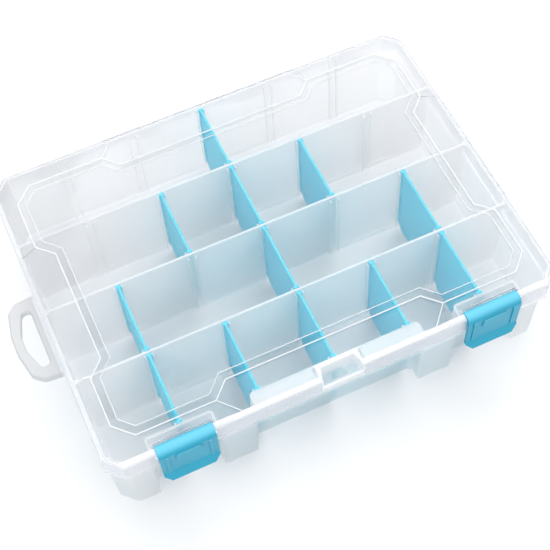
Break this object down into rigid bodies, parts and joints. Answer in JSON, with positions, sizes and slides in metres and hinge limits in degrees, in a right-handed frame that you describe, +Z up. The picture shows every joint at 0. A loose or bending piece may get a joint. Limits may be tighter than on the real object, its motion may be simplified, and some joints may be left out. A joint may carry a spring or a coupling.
{
  "type": "parts sorting tray",
  "caption": "Flat compartment box with a hinged clear lid, snap latches, removable dividers, a side handle and a hang tab.",
  "frame": {"origin": "centre of the flat underside of the base (the handle is left out of the centring)", "axes": "+X along the long side with the handle on -X; the latches are on -Y; +Z up"},
  "size_m": [0.383, 0.2761, 0.0825],
  "materials": {
    "clear_lid": "clear glossy moulded plastic",
    "frosted_base": "frosted translucent polypropylene, smooth",
    "aqua_latch": "aqua plastic, semi-gloss, slightly translucent",
    "aqua_divider": "translucent aqua polypropylene, satin"
  },
  "bodies": {
    "base_tray": {"base_tray": "frosted_base"},
    "lid": {"lid": "clear_lid"},
    "latch_left": {"latch_left": "aqua_latch"},
    "latch_right": {"latch_right": "aqua_latch"},
    "divider_row1_slot3": {"divider_row1_slot3": "aqua_divider"},
    "divider_row2_slot2": {"divider_row2_slot2": "aqua_divider"},
    "divider_row2_slot3": {"divider_row2_slot3": "aqua_divider"},
    "divider_row2_slot4": {"divider_row2_slot4": "aqua_divider"},
    "divider_row3_slot1": {"divider_row3_slot1": "aqua_divider"},
    "divider_row3_slot3": {"divider_row3_slot3": "aqua_divider"},
    "divider_row3_slot5": {"divider_row3_slot5": "aqua_divider"},
    "divider_row4_slot1": {"divider_row4_slot1": "aqua_divider"},
    "divider_row4_slot2": {"divider_row4_slot2": "aqua_divider"},
    "divider_row4_slot3": {"divider_row4_slot3": "aqua_divider"},
    "divider_row4_slot4": {"divider_row4_slot4": "aqua_divider"},
    "divider_row4_slot5": {"divider_row4_slot5": "aqua_divider"}
  },
  "joints": [
    {"name": "lid_hinge", "type": "hinge", "parent": "base_tray", "child": "lid", "pos_m": [0, 0.1344, 0.0643], "axis": [-1, 0, 0], "range_deg": [0, 180]},
    {"name": "latch_left_hinge", "type": "hinge", "parent": "lid", "child": "latch_left", "pos_m": [-0.12, -0.1294, 0.0768], "axis": [-1, 0, 0], "range_deg": [0, 105]},
    {"name": "latch_right_hinge", "type": "hinge", "parent": "lid", "child": "latch_right", "pos_m": [0.12, -0.1294, 0.0768], "axis": [-1, 0, 0], "range_deg": [0, 105]},
    {"name": "lift_row1_slot3", "type": "slide", "parent": "base_tray", "child": "divider_row1_slot3", "axis": [0, 0, 1], "range_m": [0, 0.001]},
    {"name": "lift_row2_slot2", "type": "slide", "parent": "base_tray", "child": "divider_row2_slot2", "axis": [0, 0, 1], "range_m": [0, 0.001]},
    {"name": "lift_row2_slot3", "type": "slide", "parent": "base_tray", "child": "divider_row2_slot3", "axis": [0, 0, 1], "range_m": [0, 0.001]},
    {"name": "lift_row2_slot4", "type": "slide", "parent": "base_tray", "child": "divider_row2_slot4", "axis": [0, 0, 1], "range_m": [0, 0.001]},
    {"name": "lift_row3_slot1", "type": "slide", "parent": "base_tray", "child": "divider_row3_slot1", "axis": [0, 0, 1], "range_m": [0, 0.001]},
    {"name": "lift_row3_slot3", "type": "slide", "parent": "base_tray", "child": "divider_row3_slot3", "axis": [0, 0, 1], "range_m": [0, 0.001]},
    {"name": "lift_row3_slot5", "type": "slide", "parent": "base_tray", "child": "divider_row3_slot5", "axis": [0, 0, 1], "range_m": [0, 0.001]},
    {"name": "lift_row4_slot1", "type": "slide", "parent": "base_tray", "child": "divider_row4_slot1", "axis": [0, 0, 1], "range_m": [0, 0.001]},
    {"name": "lift_row4_slot2", "type": "slide", "parent": "base_tray", "child": "divider_row4_slot2", "axis": [0, 0, 1], "range_m": [0, 0.001]},
    {"name": "lift_row4_slot3", "type": "slide", "parent": "base_tray", "child": "divider_row4_slot3", "axis": [0, 0, 1], "range_m": [0, 0.001]},
    {"name": "lift_row4_slot4", "type": "slide", "parent": "base_tray", "child": "divider_row4_slot4", "axis": [0, 0, 1], "range_m": [0, 0.001]},
    {"name": "lift_row4_slot5", "type": "slide", "parent": "base_tray", "child": "divider_row4_slot5", "axis": [0, 0, 1], "range_m": [0, 0.001]}
  ]
}
